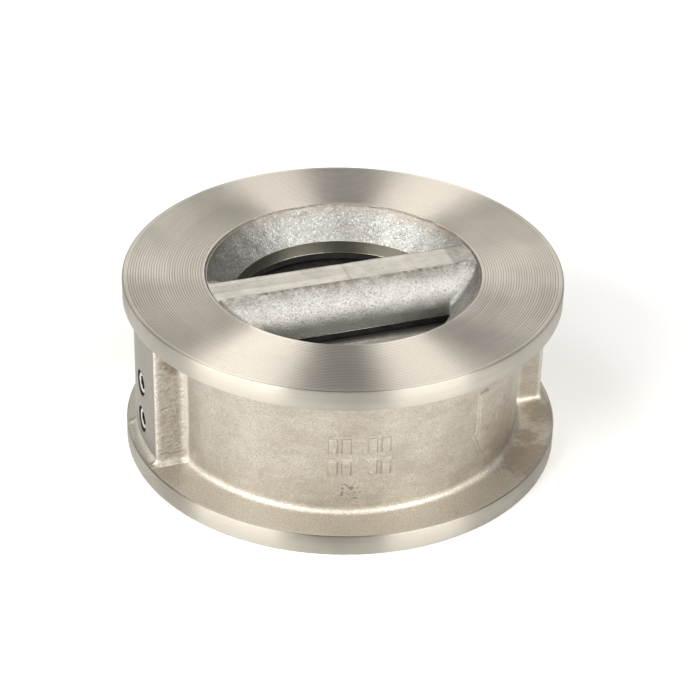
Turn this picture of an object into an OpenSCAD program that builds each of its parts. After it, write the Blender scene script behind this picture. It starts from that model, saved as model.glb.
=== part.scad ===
// Dual-plate wafer check valve, standing on its outlet face with the inlet face up. Millimetres.
// The origin is the centre of the outlet gasket face. +Z points to the inlet, so flow runs along -Z.
// X runs along the web, the hinge pin and the stop pin. The front plate is the one on the -Y side.

/* [Body] */
// Outer diameter of both flanges
flange_d = 134; // [132:1:142]
// Length from gasket face to gasket face
face_to_face = 57; // [55:1:62]
// Thickness of each flange
flange_t = 6.5; // [5.5:0.5:7]
// Outer diameter of the cast wall between the flanges
wall_d = 110; // [108:1:114]
// Diameter of the chamber that the plates swing in
chamber_d = 88; // [87:0.5:88]
// Fillet where the wall meets a flange
wall_fillet = 2; // [1:0.5:3]
// Chamfer on the rims and on the outlet's edge
edge_chamfer = 0.5; // [0.3:0.1:0.8]
// Distance across the outer faces of the two pin bosses
boss_span = 128; // [126:1:129]
// Width of each pin boss
boss_w = 24.8; // [22:0.2:28]

/* [Inlet] */
// Diameter of the inlet funnel at the gasket face
funnel_d = 84; // [82:0.5:85]
// Diameter of the seat opening
seat_d = 68; // [66:0.5:69]
// Depth of the seat face below the inlet face
seat_depth = 13.5; // [13:0.1:14.5]
// Height of the straight wall above the seat face
seat_wall_h = 4.4; // [3:0.2:5]
// Width of the web's flat top
web_top_w = 9.6; // [8:0.2:12]
// Width of the web at the seat
web_foot_w = 26.6; // [24:0.2:28]
// Depth of the web's top below the inlet face
web_drop = 0.5; // [0.3:0.1:1]

/* [Gasket faces] */
// Radius where the serration of the inlet face starts
inlet_groove_r = 43.1; // [43:0.1:45]
// Radius where the serration of the outlet face starts
outlet_groove_r = 46.2; // [46:0.1:48]
// Distance between two grooves
groove_pitch = 0.786; // [0.75:0.002:1]
// Width of one groove
groove_w = 0.5; // [0.3:0.05:0.6]
// Depth of one groove
groove_depth = 0.22; // [0.1:0.02:0.3]

/* [Plates] */
// Diameter of the two half-round plates together
plate_d = 76; // [74:0.5:77]
// Gap between the straight edges of the plates
plate_gap = 1.6; // [1:0.2:2]
// Height of the plates' back faces above the hinge axis
back_rise = 6; // [6:0.1:6.4]
// Height of the stop pads below the plates' back faces
pad_h = 4.75; // [4.6:0.05:4.8]
// Thickness of the rubber seat
seal_t = 2.15; // [1.8:0.05:2.4]

/* [Pins and springs] */
// Diameter of the hinge pin and of the stop pin
pin_d = 6; // [5.6:0.2:6]
// Distance from the hinge axis down to the stop pin
stop_drop = 13.1; // [13:0.1:13.4]
// Outer diameter of the hinge lugs on the plates
lug_d = 11.2; // [10.6:0.2:11.4]
// Width of each hinge lug
lug_w = 6.4; // [6:0.1:6.4]
// Wire diameter of the torsion springs
wire_d = 1.8; // [1.4:0.1:1.8]
// Turns in each torsion spring
spring_turns = 8; // [6:1:8]
// Length of each spring leg from the hinge axis
leg_l = 18; // [14:1:20]
// Diameter of the threaded plugs over the pins
plug_d = 8; // [7:0.5:9]

/* [Hidden] */
$fn = 96;

flange_r = flange_d / 2;
wall_r = wall_d / 2;
chamber_r = chamber_d / 2;
boss_r = boss_span / 2;
boss_h = face_to_face - 2 * flange_t;
funnel_r = funnel_d / 2;
seat_r = seat_d / 2;
seat_z = face_to_face - seat_depth;
web_l = 2 * chamber_r;
web_round = 1.1;          // how far the web's slopes bulge out of a straight line
groove_end_r = flange_r - 1.1;

hinge_z = face_to_face / 2;
stop_z = hinge_z - stop_drop;
over = 1;                 // how far a cutter runs past what it cuts
embed = 0.5;              // how far a raised shape reaches into what it stands on
touch = 0.05;             // gap between faces that rest on each other
run = 0.1;                // end play beside a lug, a washer or a spring
plate_r = plate_d / 2;
plate_top = seat_z - seal_t - touch;
plate_back = hinge_z + back_rise;
plate_t = plate_top - plate_back;
plate_chamfer = 0.6;
pad_w = 8;
pad_x = 18.5;
gusset_reach = 10;        // how far a lug's gusset reaches along the plate's back
gusset_toe = [-3.5, -3];  // where the gusset's slope ends inside the lug, from the hinge axis

pin_r = pin_d / 2;
pin_play = 0.05;          // radial clearance of everything that turns or sits on a pin
body_play = 0.04;         // radial clearance of the pins in the body
pin_l = 106.8;
lug_r = lug_d / 2;
lug_out_x = 30;           // inner face of the outer lug
lug_in_x = 0.6;           // inner face of the inner lug
washer_t = 1;
washer_r = 5.4;
wire_r = wire_d / 2;
coil_r = back_rise - wire_r - run;
coil_from = lug_out_x - 2 * run - washer_t;
coil_to = lug_in_x + lug_w + 2 * run + washer_t;
coil_pitch = (coil_from - coil_to - wire_d) / spring_turns;
turn_steps = 16;
wire_sides = 8;

shoulder_x = 54.5;        // where a pin hole opens into its plug hole
gasket_t = 0.9;
plug_r = plug_d / 2;
plug_end = 63.6;
socket_af = 4;
socket_depth = 4.5;

arrow_angle = -59;
arrow_relief = 0.8;
mark_angle = -102.5;
mark_relief = 0.5;
mark_w = 2.6;
mark_h = 5;
mark_rows = [20.2, 28];
mark_places = [-8.2, -4.2, 3.4, 7.4];

steel = [0.72, 0.69, 0.64];
bright_steel = [0.80, 0.79, 0.77];
spring_steel = [0.60, 0.60, 0.60];
rubber = [0.08, 0.08, 0.08];
ptfe = [0.90, 0.90, 0.87];

// Points of an arc in the r-z plane, from angle a0 to a1
function arc(r, z, radius, a0, a1, steps = 5) =
    [for (i = [0:steps]) let (a = a0 + (a1 - a0) * i / steps) [r + radius * cos(a), z + radius * sin(a)]];

// Serration of a gasket face from radius r0 outwards; side is +1 for a face looking up, -1 for down
function grooves(r0, z, side) = [
    for (i = [0:floor((groove_end_r - r0 - groove_w) / groove_pitch)])
        let (r = r0 + i * groove_pitch)
        each [[r, z], [r + groove_w / 2, z - side * groove_depth], [r + groove_w, z]]
];

function reversed(points) = [for (i = [len(points) - 1:-1:0]) points[i]];

// The turned outline of the body, from the inlet's edge round the outside to the outlet and the seat
function body_outline() = concat(
    [[funnel_r, face_to_face]],
    grooves(inlet_groove_r, face_to_face, 1),
    [[flange_r - edge_chamfer, face_to_face],
     [flange_r, face_to_face - edge_chamfer],
     [flange_r, face_to_face - flange_t + edge_chamfer],
     [flange_r - edge_chamfer, face_to_face - flange_t]],
    arc(wall_r + wall_fillet, face_to_face - flange_t - wall_fillet, wall_fillet, 90, 180),
    arc(wall_r + wall_fillet, flange_t + wall_fillet, wall_fillet, 180, 270),
    [[flange_r - edge_chamfer, flange_t],
     [flange_r, flange_t - edge_chamfer],
     [flange_r, edge_chamfer],
     [flange_r - edge_chamfer, 0]],
    reversed(grooves(outlet_groove_r, 0, -1)),
    [[chamber_r + 2 * edge_chamfer, 0],
     [chamber_r, 2 * edge_chamfer],
     [chamber_r, seat_z],
     [seat_r, seat_z],
     [seat_r, seat_z + seat_wall_h]]
);

// A cylinder along X from x0 to x1 on the axis at height z
module x_rod(r, x0, x1, z) {
    translate([x0, 0, z])
        rotate([0, 90, 0])
            cylinder(r = r, h = x1 - x0);
}

// A tube along X on the hinge axis
module x_tube(r_out, r_in, x0, x1) {
    difference() {
        x_rod(r_out, x0, x1, hinge_z);
        x_rod(r_in, x0 - over, x1 + over, hinge_z);
    }
}

// Places a shape drawn on the -X side on the +X side, turned half round
module right_side() {
    rotate([0, 0, 180])
        children();
}

// The bridge between the two D-shaped passages, with slopes that bulge slightly
module web() {
    top = face_to_face - web_drop;
    shoulder = seat_z + seat_wall_h;
    half_top = web_top_w / 2;
    half_foot = web_foot_w / 2;
    steps = 6;
    slope = [for (i = [0:steps]) let (t = i / steps)
        [half_foot + (half_top - half_foot) * t + web_round * sin(180 * t),
         shoulder + (top - shoulder) * t + web_round * sin(180 * t) / 2]];
    mirrored = [for (p = slope) [-p[0], p[1]]];
    rotate([90, 0, 90])
        linear_extrude(web_l, center = true)
            polygon(concat([[-half_foot, seat_z], [half_foot, seat_z]], slope, reversed(mirrored)));
}

// The two bosses that the pins end in
module bosses() {
    translate([0, 0, flange_t])
        difference() {
            intersection() {
                cylinder(r = boss_r, h = boss_h, $fn = 128);
                translate([-boss_r - over, -boss_w / 2, 0])
                    cube([2 * (boss_r + over), boss_w, boss_h]);
            }
            translate([0, 0, -over])
                cylinder(r = (wall_r + chamber_r) / 2, h = boss_h + 2 * over);
        }
}

// Pin holes right through, opening into the plug holes in the bosses
module pin_holes() {
    for (z = [hinge_z, stop_z]) {
        x_rod(pin_r + body_play, -shoulder_x - over, shoulder_x + over, z);
        for (side = [0, 180])
            rotate([0, 0, side])
                x_rod(plug_r, shoulder_x, boss_r + over, z);
    }
}

// Keeps the part of its children that stands proud of the wall by the relief
module raised(relief) {
    intersection() {
        difference() {
            cylinder(r = wall_r + relief, h = face_to_face);
            translate([0, 0, -over])
                cylinder(r = wall_r - embed, h = face_to_face + 2 * over);
        }
        children();
    }
}

// A flat outline in the wall's tangent plane at an angle, pushed through the wall
module on_wall(angle) {
    rotate([0, 0, angle])
        translate([chamber_r + over, 0, 0])
            rotate([90, 0, 90])
                linear_extrude(wall_r - chamber_r)
                    children();
}

// The flow arrow, pointing to the outlet
module flow_arrow() {
    tip_z = 15.8;
    neck_z = 23.3;
    tail_z = 37.5;
    head_half = 3.4;
    shaft_half = 1.9;
    raised(arrow_relief)
        on_wall(arrow_angle)
            polygon([[0, tip_z], [head_half, neck_z], [shaft_half, neck_z], [shaft_half, tail_z],
                     [-shaft_half, tail_z], [-shaft_half, neck_z], [-head_half, neck_z]]);
}

// Blank raised pads in two rows where a foundry sets its marks
module mark_pads() {
    raised(mark_relief)
        for (z = mark_rows, across = mark_places)
            on_wall(mark_angle + across * 180 / (PI * wall_r))
                translate([-mark_w / 2, z])
                    square([mark_w, mark_h]);
}

module body() {
    color(steel)
        difference() {
            union() {
                rotate_extrude($fn = 128)
                    polygon(body_outline());
                bosses();
                web();
                flow_arrow();
                mark_pads();
            }
            pin_holes();
        }
}

// The rubber seat, bonded under the seat face, with the same two openings
module seat_seal() {
    seal_r = plate_r + 1;
    color(rubber)
        translate([0, 0, seat_z - seal_t])
            difference() {
                cylinder(r = seal_r, h = seal_t);
                for (side = [-1, 1])
                    intersection() {
                        translate([0, 0, -over])
                            cylinder(r = seat_r, h = seal_t + 2 * over);
                        translate([-seat_r, side > 0 ? web_foot_w / 2 : -seat_r - web_foot_w / 2, -over])
                            cube([2 * seat_r, seat_r, seal_t + 2 * over]);
                    }
            }
}

// One hinge lug of the front plate, from x0 to x0 + lug_w
module lug(x0) {
    x_rod(lug_r, x0, x0 + lug_w, hinge_z);
    translate([x0, 0, hinge_z])
        rotate([90, 0, 90])
            linear_extrude(lug_w)
                polygon([[-plate_gap / 2, back_rise + embed], [-gusset_reach, back_rise + embed],
                         gusset_toe, [0, 0]]);
}

// The front plate: a half disc with two hinge lugs and two stop pads on its back
module front_plate() {
    difference() {
        union() {
            intersection() {
                rotate_extrude($fn = 128)
                    polygon([[0, plate_back], [plate_r - plate_chamfer, plate_back],
                             [plate_r, plate_back + plate_chamfer], [plate_r, plate_top - plate_chamfer],
                             [plate_r - plate_chamfer, plate_top], [0, plate_top]]);
                translate([-plate_r - over, -plate_r - plate_gap / 2, plate_back - over])
                    cube([2 * (plate_r + over), plate_r, plate_t + 2 * over]);
            }
            lug(-lug_out_x - lug_w);
            lug(lug_in_x);
            for (x = [-pad_x, pad_x])
                translate([x - pad_w / 2, -stop_drop - pad_w / 2, plate_back - pad_h])
                    cube([pad_w, pad_w, pad_h + embed]);
        }
        x_rod(pin_r + pin_play, -plate_r, plate_r, hinge_z);
    }
}

module plate_front() {
    color(bright_steel)
        front_plate();
}

module plate_rear() {
    color(bright_steel)
        right_side()
            front_plate();
}

// A round pin along X with chamfered ends
module pin(z) {
    end_chamfer = 0.6;
    color(bright_steel)
        translate([0, 0, z])
            rotate([0, 90, 0])
                rotate_extrude()
                    polygon([[0, -pin_l / 2], [pin_r - end_chamfer, -pin_l / 2],
                             [pin_r, -pin_l / 2 + end_chamfer], [pin_r, pin_l / 2 - end_chamfer],
                             [pin_r - end_chamfer, pin_l / 2], [0, pin_l / 2]]);
}

module hinge_pin() {
    pin(hinge_z);
}

module stop_pin() {
    pin(stop_z);
}

// Centre line of the left spring: front leg, coil and rear leg, with the coil round the hinge axis
function spring_path() =
    let (x0 = -coil_from + wire_r, steps = spring_turns * turn_steps)
    concat(
        [[x0, -leg_l, hinge_z + coil_r], [x0, -leg_l / 2, hinge_z + coil_r]],
        [for (i = [0:steps])
            let (a = 90 - 360 * i / turn_steps)
            [x0 + coil_pitch * i / turn_steps, coil_r * cos(a), hinge_z + coil_r * sin(a)]],
        [[x0 + coil_pitch * spring_turns, leg_l / 2, hinge_z + coil_r],
         [x0 + coil_pitch * spring_turns, leg_l, hinge_z + coil_r]]
    );

function unit(v) = v / norm(v);

// Sweeps a round wire along a path. Each ring is square to the path's direction at its point.
module wire(path, radius, sides) {
    n = len(path);
    last = n - 1;
    rings = [for (i = [0:last])
        let (
            along = unit(path[min(i + 1, last)] - path[max(i - 1, 0)]),
            across = unit(cross(along, [1, 0, 0])),
            third = cross(along, across)
        )
        for (k = [0:sides - 1])
            let (a = 360 * k / sides)
            path[i] + radius * (cos(a) * across + sin(a) * third)];
    skin = [for (i = [0:last - 1], k = [0:sides - 1])
        let (next = (k + 1) % sides)
        [i * sides + k, (i + 1) * sides + k, (i + 1) * sides + next, i * sides + next]];
    ends = [[for (k = [0:sides - 1]) k], [for (k = [sides - 1:-1:0]) last * sides + k]];
    polyhedron(rings, concat(skin, ends), convexity = 10);
}

module spring() {
    color(spring_steel)
        wire(spring_path(), wire_r, wire_sides);
}

module torsion_spring_left() {
    spring();
}

module torsion_spring_right() {
    right_side()
        spring();
}

// The sleeve that keeps a spring's coils off the hinge pin
module spring_sleeve() {
    color(ptfe)
        x_tube(coil_r - wire_r - run, pin_r + pin_play, -coil_from, -coil_to);
}

module spring_sleeve_left() {
    spring_sleeve();
}

module spring_sleeve_right() {
    right_side()
        spring_sleeve();
}

// The two washers between a spring and the lugs beside it
module spring_washers() {
    color(ptfe)
        for (x = [-coil_from - run, -coil_to + run + washer_t])
            x_tube(washer_r, pin_r + pin_play, x - washer_t, x);
}

module spring_washers_left() {
    spring_washers();
}

module spring_washers_right() {
    right_side()
        spring_washers();
}

// The washer between the two inner lugs
module plate_lug_washer() {
    color(ptfe)
        x_tube(washer_r, pin_r + pin_play, -washer_t / 2, washer_t / 2);
}

// The bush between an outer lug and the chamber wall
module body_lug_bearing() {
    bush_r = 5.2;
    wall_x = sqrt(chamber_r * chamber_r - bush_r * bush_r);
    color(ptfe)
        x_tube(bush_r, pin_r + pin_play, -wall_x + touch, -lug_out_x - lug_w - run);
}

module body_lug_bearing_left() {
    body_lug_bearing();
}

module body_lug_bearing_right() {
    right_side()
        body_lug_bearing();
}

// A threaded plug with a hexagon socket, over the end of a pin
module plug(z) {
    plug_from = shoulder_x + gasket_t + 2 * touch;
    color(bright_steel)
        difference() {
            x_rod(plug_r - touch, -plug_end, -plug_from, z);
            translate([-plug_end - over, 0, z])
                rotate([0, 90, 0])
                    cylinder(r = socket_af / 2 / cos(30), h = socket_depth + over, $fn = 6);
        }
}

module hinge_plug_left() {
    plug(hinge_z);
}

module hinge_plug_right() {
    right_side()
        plug(hinge_z);
}

module stop_plug_left() {
    plug(stop_z);
}

module stop_plug_right() {
    right_side()
        plug(stop_z);
}

// The sealing disc between a plug and the shoulder of its hole
module gasket(z) {
    color(ptfe)
        x_rod(plug_r - 2 * touch, -shoulder_x - gasket_t - touch, -shoulder_x - touch, z);
}

module hinge_gasket_left() {
    gasket(hinge_z);
}

module hinge_gasket_right() {
    right_side()
        gasket(hinge_z);
}

module stop_gasket_left() {
    gasket(stop_z);
}

module stop_gasket_right() {
    right_side()
        gasket(stop_z);
}

body();
seat_seal();
plate_front();
plate_rear();
hinge_pin();
stop_pin();
torsion_spring_left();
torsion_spring_right();
spring_sleeve_left();
spring_sleeve_right();
spring_washers_left();
spring_washers_right();
plate_lug_washer();
body_lug_bearing_left();
body_lug_bearing_right();
hinge_plug_left();
hinge_plug_right();
stop_plug_left();
stop_plug_right();
hinge_gasket_left();
hinge_gasket_right();
stop_gasket_left();
stop_gasket_right();
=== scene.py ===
from math import atan2, cos, pi, radians, sin, sqrt

import bmesh
import bpy
from mathutils import Matrix, Vector, noise
from mathutils.geometry import tessellate_polygon


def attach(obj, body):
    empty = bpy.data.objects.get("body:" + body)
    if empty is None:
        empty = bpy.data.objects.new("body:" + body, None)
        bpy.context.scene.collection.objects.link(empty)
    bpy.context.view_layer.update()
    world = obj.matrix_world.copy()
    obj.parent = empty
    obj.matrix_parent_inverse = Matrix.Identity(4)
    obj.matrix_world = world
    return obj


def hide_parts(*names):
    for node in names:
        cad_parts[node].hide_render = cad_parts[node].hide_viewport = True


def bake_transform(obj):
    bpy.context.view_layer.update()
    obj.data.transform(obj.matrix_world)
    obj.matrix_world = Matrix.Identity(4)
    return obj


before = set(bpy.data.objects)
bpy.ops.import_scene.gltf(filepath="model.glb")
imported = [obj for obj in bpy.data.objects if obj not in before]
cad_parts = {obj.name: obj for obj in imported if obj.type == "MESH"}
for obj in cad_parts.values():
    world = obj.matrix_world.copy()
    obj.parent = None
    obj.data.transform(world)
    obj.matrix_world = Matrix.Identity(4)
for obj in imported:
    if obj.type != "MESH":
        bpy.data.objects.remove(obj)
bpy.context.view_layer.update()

# A dual-plate wafer check valve on a white studio floor. Sizes below are millimetres in the frame
# of the part: origin at the centre of the outlet face, +Z to the inlet, X along the hinge pin.
MM = 0.001

# ------------ sizes

FLANGE_R = 67.0
LENGTH = 57.0
FLANGE_T = 6.5
WALL_R = 55.0
CHAMBER_R = 44.0
BOSS_R = 64.0
BOSS_HALF = 12.4
EDGE = 0.45  # chamfer on the rims
EDGE_MIDDLE = 0.12  # how far in the chamfer's rounded middle lies
WALL_FILLET = 2.0  # where the wall meets a flange
BOSS_FILLET = 2.4  # where a boss meets the wall
BOSS_CORNER = 1.0  # on the upright corners of a boss

FUNNEL_R = 42.0
SEAT_R = 34.0
SEAT_Z = 43.5
BORE_TOP_Z = 47.9  # where the funnel meets the straight bore above the seat
WEB_TOP_Z = 56.5
WEB_TOP_HALF = 4.8
WEB_FOOT_HALF = 13.3
WEB_BULGE = 1.1
WEB_CORNER = 1.3  # between the web and the funnel
FOOT_BEND = 2.4  # half the height over which the web's slope bends upright
FOOT_EDGE = 0.4  # rounding of the seat openings' lower edges

GROOVE_PITCH = 0.786
GROOVE_W = 0.27
GROOVE_DEPTH = 0.07
INLET_GROOVE_R = 43.1
OUTLET_GROOVE_R = INLET_GROOVE_R + 4 * GROOVE_PITCH
GROOVE_END_R = 65.9

HINGE_Z = 28.5
STOP_Z = 15.4
PLATE_R = 38.0
PLATE_TOP_Z = 41.3
PLATE_BACK_Z = 34.5
PLATE_EDGE_Y = 0.8
LUG_R = 5.6
LUG_W = 6.4
LUG_OUT_X = 30.0
LUG_IN_X = 0.6
PAD_H = 4.75
PAD_W = 8.0
PAD_X = 18.5
STOP_DROP = HINGE_Z - STOP_Z
PLATE_BEVEL = 0.35
OVERLAP = 0.5  # how far joined solids reach into one another

PIN_R = 3.0
PIN_HALF = 53.4
PIN_PLAY = 0.05
PIN_CHAMFER = 0.6
SIDE_PLAY = 0.1  # between the small parts along the hinge pin
WASHER_T = 1.0
WASHER_R = 5.4
BUSH_R = 5.2
WIRE_R = 0.9
COIL_R = 5.0
COIL_FROM_X = 28.8
COIL_TO_X = 8.2
SPRING_TURNS = 8
LEG_L = 18.0
LEG_FROM_Y = 1.5  # where a spring's leg starts beside the coil
PLUG_R = 4.0
PLUG_FROM_X = 55.5
PLUG_END_X = 63.6
SHOULDER_X = 54.5
SOCKET_R = 2.31  # across the corners of the hexagon, halved
SOCKET_DEPTH = 4.5
CREST_PITCH = 1.25  # of the plain crests that stand for the plugs' thread

ARROW_ANGLE = radians(-59.0)
ARROW_RISE = 0.80
MARK_ANGLE = radians(-102.5)
MARK_W, MARK_H, MARK_RISE = 2.6, 5.0, 0.75
MARK_ROWS = (20.2, 28.0)  # heights of the pads' lower edges
MARK_COLUMNS = (-8.2, -4.2, 3.4, 7.4)
SUNK = 0.15  # how far raised marks reach into the wall
SIDES = (("left", -1), ("right", 1))


# ------------ materials

WHITE = (1.0, 1.0, 1.0, 1.0)


class Shader:
    """A material with one Principled surface and short calls for the nodes that feed it."""

    def __init__(self, name, metallic=1.0):
        self.material = bpy.data.materials.new(name)
        self.material.use_nodes = True
        self.tree = self.material.node_tree
        self.surface = self.tree.nodes["Principled BSDF"]
        self.set("Metallic", metallic)
        self.place = self.add("ShaderNodeTexCoord").outputs["Object"]

    def add(self, kind, **settings):
        node = self.tree.nodes.new(kind)
        for key, value in settings.items():
            setattr(node, key, value)
        return node

    def feed(self, socket, value):
        if isinstance(value, bpy.types.NodeSocket):
            self.tree.links.new(value, socket)
        else:
            socket.default_value = value

    def set(self, name, value):
        """Sets or feeds an input of the surface."""
        self.feed(self.surface.inputs[name], value)

    def math(self, operation, a, b=0.0):
        node = self.add("ShaderNodeMath", operation=operation)
        self.feed(node.inputs[0], a)
        self.feed(node.inputs[1], b)
        return node.outputs[0]

    def plus(self, a, b):
        return self.math("ADD", a, b)

    def times(self, a, b):
        return self.math("MULTIPLY", a, b)

    def gap(self, a, b):
        """Distance between two numbers."""
        return self.math("ABSOLUTE", self.math("SUBTRACT", a, b))

    def length(self, x, y):
        return self.math("SQRT", self.plus(self.times(x, x), self.times(y, y)))

    def away_from(self, centre_mm):
        """Distance of the shaded point from a centre."""
        node = self.add("ShaderNodeVectorMath", operation="DISTANCE")
        self.feed(node.inputs[0], self.place)
        node.inputs[1].default_value = dimmed(centre_mm, MM)
        return node.outputs["Value"]

    def split(self):
        """x, y and z of the shaded point."""
        node = self.add("ShaderNodeSeparateXYZ")
        self.feed(node.inputs[0], self.place)
        return node.outputs

    def join(self, x, y, z):
        node = self.add("ShaderNodeCombineXYZ")
        for socket, value in zip(node.inputs, (x, y, z)):
            self.feed(socket, value)
        return node.outputs[0]

    def noise(self, size_mm, detail, rough, place=None, stretch=(1, 1, 1), w=None):
        """Noise whose features are about size_mm across."""
        spread = self.add("ShaderNodeMapping")
        self.feed(spread.inputs["Vector"], self.place if place is None else place)
        spread.inputs["Scale"].default_value = [s / (size_mm * MM) for s in stretch]
        node = self.add("ShaderNodeTexNoise", noise_dimensions="3D" if w is None else "4D")
        self.feed(node.inputs["Vector"], spread.outputs[0])
        if w is not None:
            self.feed(node.inputs["W"], w)
        node.inputs["Scale"].default_value = 1.0
        node.inputs["Detail"].default_value = detail
        node.inputs["Roughness"].default_value = rough
        return node.outputs["Fac"]

    def cells(self, size_mm):
        """Distance to the nearest of scattered points about size_mm apart."""
        node = self.add("ShaderNodeTexVoronoi")
        self.feed(node.inputs["Vector"], self.place)
        node.inputs["Scale"].default_value = 1.0 / (size_mm * MM)
        return node.outputs["Distance"]

    def fit(self, value, low, high, to_low=0.0, to_high=1.0, smooth=False):
        """value mapped from low..high to to_low..to_high, and held there outside it."""
        node = self.add("ShaderNodeMapRange", interpolation_type="SMOOTHSTEP" if smooth else "LINEAR")
        for socket, number in zip(node.inputs, (value, low, high, to_low, to_high)):
            self.feed(socket, number)
        return node.outputs[0]

    def mix(self, share, a, b):
        """Colour a where share is 0 and b where it is 1."""
        node = self.add("ShaderNodeMix", data_type="RGBA")
        self.feed(node.inputs[0], share)
        for socket, colour in zip(node.inputs[6:8], (a, b)):
            self.feed(socket, (*colour, 1.0) if isinstance(colour, tuple) else colour)
        return node.outputs[2]

    def bump(self, height, depth_mm, normal=None):
        node = self.add("ShaderNodeBump")
        node.inputs["Distance"].default_value = depth_mm * MM
        self.feed(node.inputs["Height"], height)
        if normal is not None:
            self.feed(node.inputs["Normal"], normal)
        return node.outputs[0]

    def finish(self, colour, roughness, normal):
        self.set("Base Color", colour)
        self.set("Roughness", roughness)
        self.set("Normal", normal)
        return self.material


def dimmed(colour, share):
    return tuple(c * share for c in colour)


def off_axis(s):
    """Distance from the Z axis."""
    x, y, _ = s.split()
    return s.length(x, y)


def turning_lines(s, fine_mm):
    """Noise drawn out into lines round the Z axis, as a lathe leaves on faces, rims and bores."""
    x, y, z = s.split()
    radius = off_axis(s)
    around_x = s.math("DIVIDE", x, s.math("MAXIMUM", radius, MM))
    around_y = s.math("DIVIDE", y, s.math("MAXIMUM", radius, MM))
    drawn = s.join(radius, z, s.times(around_x, 0.9 * fine_mm * MM))
    return s.noise(fine_mm, 2.0, 0.6, place=drawn, w=s.times(around_y, 0.9)), radius


def groove_soil(s, radius):
    """1 inside the concentric grooves of the two gasket faces, where shade is painted, and 0 elsewhere.
    """
    turn = s.math("DIVIDE", s.math("SUBTRACT", radius, INLET_GROOVE_R * MM), GROOVE_PITCH * MM)
    share = s.math("FRACT", turn)
    half = GROOVE_W / GROOVE_PITCH / 2
    inside = s.fit(s.gap(share, half), half, half * 0.4)
    height = s.gap(s.split()[2], LENGTH / 2 * MM)
    on_face = s.fit(height, (LENGTH / 2 - 0.3) * MM, (LENGTH / 2 - 0.25) * MM)
    in_reach = s.times(s.fit(radius, (INLET_GROOVE_R - 0.1) * MM, INLET_GROOVE_R * MM),
                      s.fit(radius, (GROOVE_END_R + 0.1) * MM, GROOVE_END_R * MM))
    return s.times(inside, s.times(on_face, in_reach))


def turned_steel(name, colour=(0.66, 0.62, 0.55), roughness=0.38, spread=1.0):
    """Lathe-cut stainless steel: drawn-out highlights, fine cutting lines, dull patches and nicks."""
    s = Shader(name)
    lines, radius = turning_lines(s, 0.22)
    haze = s.noise(26.0, 3.0, 0.6)
    specks = s.noise(1.6, 2.0, 0.5)
    tone = s.mix(s.fit(haze, 0.35, 0.68), dimmed(colour, 0.90), colour)
    tone = s.mix(s.fit(lines, 0.35, 0.70, 0.0, 0.35), tone, dimmed(colour, 0.72))
    tone = s.mix(s.fit(specks, 0.74, 0.80, 0.0, 0.5), tone, dimmed(colour, 0.45))
    # painted shade: the grooves of the gasket faces are painted dark
    tone = s.mix(s.times(groove_soil(s, radius), 0.60), tone, dimmed(colour, 0.24))
    rough = s.plus(s.fit(haze, 0.3, 0.7, roughness + 0.04, roughness - 0.04),
                   s.fit(lines, 0.3, 0.7, -0.03, 0.05))
    nicks = s.fit(s.noise(0.9, 1.0, 0.5), 0.70, 0.78)
    normal = s.bump(s.math("SUBTRACT", lines, s.times(nicks, 0.5)), 0.028)
    s.set("Anisotropic", spread)
    s.set("Anisotropic Rotation", 0.25)
    tangent = s.add("ShaderNodeTangent", direction_type="RADIAL", axis="Z")
    s.set("Tangent", tangent.outputs[0])
    return s.finish(tone, rough, normal)


# rust and oil stains on the casting's skin, and one patch of painted shade: centre and radius in mm, and
# how brown
STAINS = [
    ((-57, -12, 41), 5, 0.90),
    ((-59, -12, 24), 16, 0.15),
    ((-62, -20, 7), 10, 0.20),
    ((46, -38, 7), 5, 0.55),
    ((50, -31, 7), 6, 0.50),
    ((46, -42, 7), 15, 0.50),
    ((61, -20, 6), 10, 0.50),
    # painted shade: the wall darkens towards its right end, beside the arrow
    ((38, -40, 18), 16, 0.50),
    ((20, 54, 30), 18, 0.22),
    ((58, 12, 20), 14, 0.55),
]

# x, y and reach in mm of the bosses' upright fillets and corners, painted lighter as painted highlights
BOSS_LINES = [(53.9, 13.2, 2.2), (62.6, 12.0, 1.5)]
PIT_CLUSTER = (-15.2, -52.9, 14.6)


def stain_patches(s, ragged):
    """1 in the middle of the stain and painted-shade patches, with ragged edges, and 0 outside them."""
    total = 0.0
    for centre, radius, amount in STAINS:
        edge = s.plus(s.away_from(centre), s.times(ragged, -0.9 * radius * MM))
        patch = s.fit(edge, 0.55 * radius * MM, 0.0, 0.0, amount, smooth=True)
        total = s.math("MAXIMUM", total, patch)
    return total


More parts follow.
